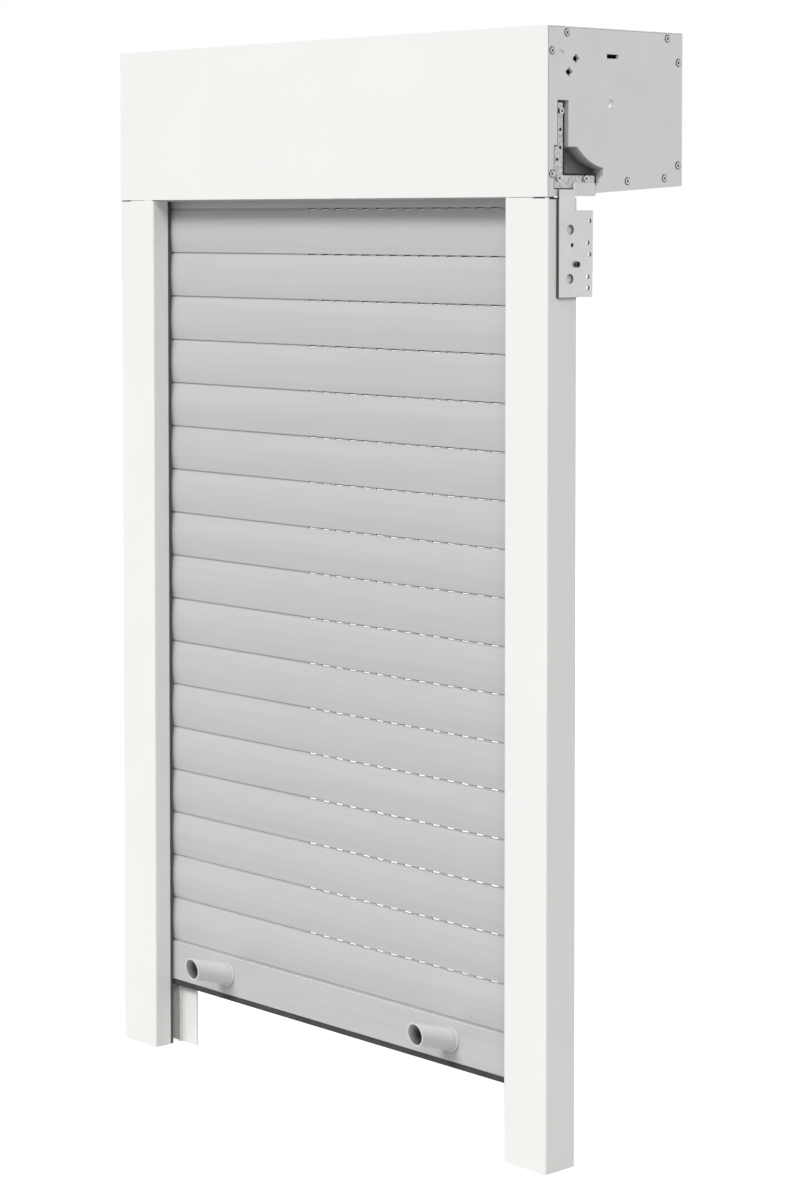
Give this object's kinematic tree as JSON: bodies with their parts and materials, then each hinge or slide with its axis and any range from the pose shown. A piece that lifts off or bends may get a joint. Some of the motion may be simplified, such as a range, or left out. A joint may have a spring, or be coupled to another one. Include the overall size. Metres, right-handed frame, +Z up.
{
  "type": "exterior roller shutter",
  "caption": "Exterior roller shutter with a square box, two guide rails, a hanging slatted curtain with light slots, a bottom bar with hollow stops, and the roller that lifts it.",
  "frame": {"origin": "centre of the four rail fixing holes, on the back plane of the rails", "axes": "+X across the window to the right seen from outdoors, +Y towards the window, +Z up"},
  "size_m": [0.5646, 0.1815, 0.927],
  "materials": {
    "box_paint": "smooth white powder coat",
    "rail_paint": "smooth white powder coat",
    "slat_paint": "light grey satin coil coat",
    "end_plastic": "moulded light grey plastic, fine texture",
    "grey_plastic": "moulded grey plastic",
    "zinc_sheet": "zinc plated sheet",
    "screw_steel": "zinc plated",
    "dark_screw": "black burnished",
    "seal_rubber": "matt black",
    "strip_grey": "matt dark grey",
    "black_plastic": "moulded black plastic",
    "motor_paint": "painted steel tube"
  },
  "bodies": {
    "frame": {"front_panel": "box_paint", "top_panel": "box_paint", "back_panel": "box_paint", "floor_panel": "box_paint", "inlet_lip": "grey_plastic", "end_plate_right": "end_plastic", "end_plate_left": "end_plastic", "end_plate_screws": "screw_steel", "corner_bracket_right": "zinc_sheet", "corner_bracket_left": "zinc_sheet", "bracket_screws": "screw_steel", "hanger_plate_right": "zinc_sheet", "hanger_plate_left": "zinc_sheet", "hanger_plate_screws": "dark_screw", "guide_rail_right": "rail_paint", "guide_rail_left": "rail_paint", "sealing_strips_right": "strip_grey", "sealing_strips_left": "strip_grey", "rail_inlet_right": "black_plastic", "rail_inlet_left": "black_plastic", "bearing_holder": "black_plastic", "idler_bearing": "screw_steel", "motor_bracket": "zinc_sheet", "motor_head": "black_plastic", "motor_body": "motor_paint"},
    "curtain": {"slat_01": "slat_paint", "strap_clips": "black_plastic", "hanger_straps": "screw_steel"},
    "roller": {"roller_tube": "zinc_sheet", "crown_ring": "black_plastic", "drive_wheel": "black_plastic", "motor_shaft": "screw_steel", "idler_plug": "black_plastic", "idler_pin": "screw_steel"},
    "bar": {"bottom_bar": "slat_paint", "bottom_seal": "seal_rubber", "bar_end_caps": "black_plastic", "stop_right": "grey_plastic", "stop_left": "grey_plastic", "stop_screws": "screw_steel"},
    "slat_02_body": {"slat_02": "slat_paint"},
    "slat_03_body": {"slat_03": "slat_paint"},
    "slat_04_body": {"slat_04": "slat_paint"},
    "slat_05_body": {"slat_05": "slat_paint"},
    "slat_06_body": {"slat_06": "slat_paint"},
    "slat_07_body": {"slat_07": "slat_paint"},
    "slat_08_body": {"slat_08": "slat_paint"},
    "slat_09_body": {"slat_09": "slat_paint"},
    "slat_10_body": {"slat_10": "slat_paint"},
    "slat_11_body": {"slat_11": "slat_paint"},
    "slat_12_body": {"slat_12": "slat_paint"},
    "slat_13_body": {"slat_13": "slat_paint"},
    "slat_14_body": {"slat_14": "slat_paint"},
    "slat_15_body": {"slat_15": "slat_paint"},
    "slat_16_body": {"slat_16": "slat_paint"},
    "slat_17_body": {"slat_17": "slat_paint"},
    "slat_18_body": {"slat_18": "slat_paint"}
  },
  "joints": [
    {"name": "curtain_lift", "type": "slide", "parent": "frame", "child": "curtain", "axis": [0, 0, 1], "range_m": [-0.055, 0.045], "deforming": ["hanger_straps"]},
    {"name": "roller_turn", "type": "hinge", "parent": "frame", "child": "roller", "pos_m": [0, 0.04, 0.471], "axis": [-1, 0, 0], "range_deg": [-145, 120]},
    {"name": "slots_close", "type": "slide", "parent": "curtain", "child": "bar", "axis": [0, 0, 1], "range_m": [0, 0.0288]},
    {"name": "slat_02_close", "type": "slide", "parent": "curtain", "child": "slat_02_body", "axis": [0, 0, 1], "range_m": [0, 0.0016]},
    {"name": "slat_03_close", "type": "slide", "parent": "curtain", "child": "slat_03_body", "axis": [0, 0, 1], "range_m": [0, 0.0032]},
    {"name": "slat_04_close", "type": "slide", "parent": "curtain", "child": "slat_04_body", "axis": [0, 0, 1], "range_m": [0, 0.0048]},
    {"name": "slat_05_close", "type": "slide", "parent": "curtain", "child": "slat_05_body", "axis": [0, 0, 1], "range_m": [0, 0.0064]},
    {"name": "slat_06_close", "type": "slide", "parent": "curtain", "child": "slat_06_body", "axis": [0, 0, 1], "range_m": [0, 0.008]},
    {"name": "slat_07_close", "type": "slide", "parent": "curtain", "child": "slat_07_body", "axis": [0, 0, 1], "range_m": [0, 0.0096]},
    {"name": "slat_08_close", "type": "slide", "parent": "curtain", "child": "slat_08_body", "axis": [0, 0, 1], "range_m": [0, 0.0112]},
    {"name": "slat_09_close", "type": "slide", "parent": "curtain", "child": "slat_09_body", "axis": [0, 0, 1], "range_m": [0, 0.0128]},
    {"name": "slat_10_close", "type": "slide", "parent": "curtain", "child": "slat_10_body", "axis": [0, 0, 1], "range_m": [0, 0.0144]},
    {"name": "slat_11_close", "type": "slide", "parent": "curtain", "child": "slat_11_body", "axis": [0, 0, 1], "range_m": [0, 0.016]},
    {"name": "slat_12_close", "type": "slide", "parent": "curtain", "child": "slat_12_body", "axis": [0, 0, 1], "range_m": [0, 0.0176]},
    {"name": "slat_13_close", "type": "slide", "parent": "curtain", "child": "slat_13_body", "axis": [0, 0, 1], "range_m": [0, 0.0192]},
    {"name": "slat_14_close", "type": "slide", "parent": "curtain", "child": "slat_14_body", "axis": [0, 0, 1], "range_m": [0, 0.0208]},
    {"name": "slat_15_close", "type": "slide", "parent": "curtain", "child": "slat_15_body", "axis": [0, 0, 1], "range_m": [0, 0.0224]},
    {"name": "slat_16_close", "type": "slide", "parent": "curtain", "child": "slat_16_body", "axis": [0, 0, 1], "range_m": [0, 0.024]},
    {"name": "slat_17_close", "type": "slide", "parent": "curtain", "child": "slat_17_body", "axis": [0, 0, 1], "range_m": [0, 0.0256]},
    {"name": "slat_18_close", "type": "slide", "parent": "curtain", "child": "slat_18_body", "axis": [0, 0, 1], "range_m": [0, 0.0272]}
  ],
  "couplings": [
    {"joint": "roller_turn", "follows": "curtain_lift", "rad_per_m": 44.3},
    {"joint": "slat_02_close", "follows": "slots_close", "ratio": 0.055556},
    {"joint": "slat_03_close", "follows": "slots_close", "ratio": 0.11111},
    {"joint": "slat_04_close", "follows": "slots_close", "ratio": 0.16667},
    {"joint": "slat_05_close", "follows": "slots_close", "ratio": 0.22222},
    {"joint": "slat_06_close", "follows": "slots_close", "ratio": 0.27778},
    {"joint": "slat_07_close", "follows": "slots_close", "ratio": 0.33333},
    {"joint": "slat_08_close", "follows": "slots_close", "ratio": 0.38889},
    {"joint": "slat_09_close", "follows": "slots_close", "ratio": 0.44444},
    {"joint": "slat_10_close", "follows": "slots_close", "ratio": 0.5},
    {"joint": "slat_11_close", "follows": "slots_close", "ratio": 0.55556},
    {"joint": "slat_12_close", "follows": "slots_close", "ratio": 0.61111},
    {"joint": "slat_13_close", "follows": "slots_close", "ratio": 0.66667},
    {"joint": "slat_14_close", "follows": "slots_close", "ratio": 0.72222},
    {"joint": "slat_15_close", "follows": "slots_close", "ratio": 0.77778},
    {"joint": "slat_16_close", "follows": "slots_close", "ratio": 0.83333},
    {"joint": "slat_17_close", "follows": "slots_close", "ratio": 0.88889},
    {"joint": "slat_18_close", "follows": "slots_close", "ratio": 0.94444}
  ]
}
